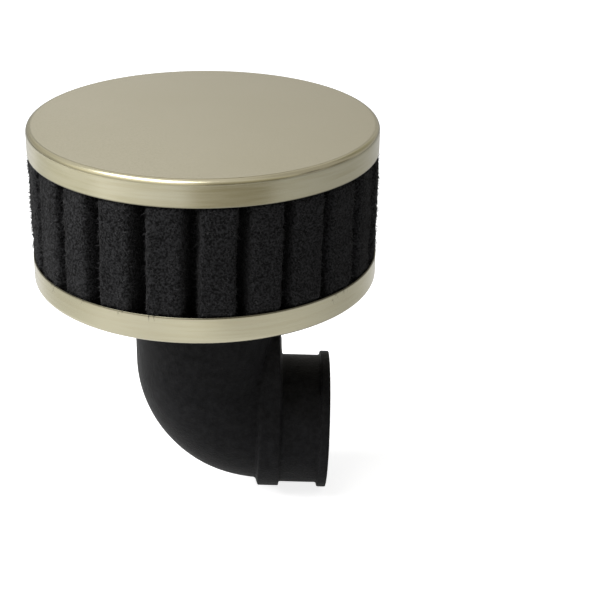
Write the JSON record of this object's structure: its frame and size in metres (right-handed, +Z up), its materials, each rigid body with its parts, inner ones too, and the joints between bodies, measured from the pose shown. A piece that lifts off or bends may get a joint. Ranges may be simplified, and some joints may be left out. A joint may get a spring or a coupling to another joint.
{
  "type": "angled air filter",
  "caption": "Angled clamp-on air filter: a round drum of pleated black foam between plated steel end caps, standing on a moulded rubber elbow with a clamp seat at its mouth.",
  "frame": {"origin": "centre of the elbow's open mouth, where the engine's intake spigot goes in", "axes": "+X out of the mouth along the neck, +Z up the drum's axis, +Y to complete a right-handed frame"},
  "size_m": [0.11, 0.11, 0.1297],
  "materials": {
    "plated_steel": "bright zinc-nickel plating on fine brushed steel",
    "galvanised_steel": "plain galvanised, dull",
    "black_foam": "open-cell foam, matt and fuzzy",
    "black_rubber": "moulded, satin",
    "bonding_resin": "poured urethane, satin"
  },
  "bodies": {
    "root": {"intake_elbow": "black_rubber", "base_pan": "plated_steel", "base_bond_ring": "bonding_resin", "support_cage": "galvanised_steel", "foam_element": "black_foam", "top_bond_ring": "bonding_resin", "top_cap": "plated_steel"}
  },
  "joints": []
}
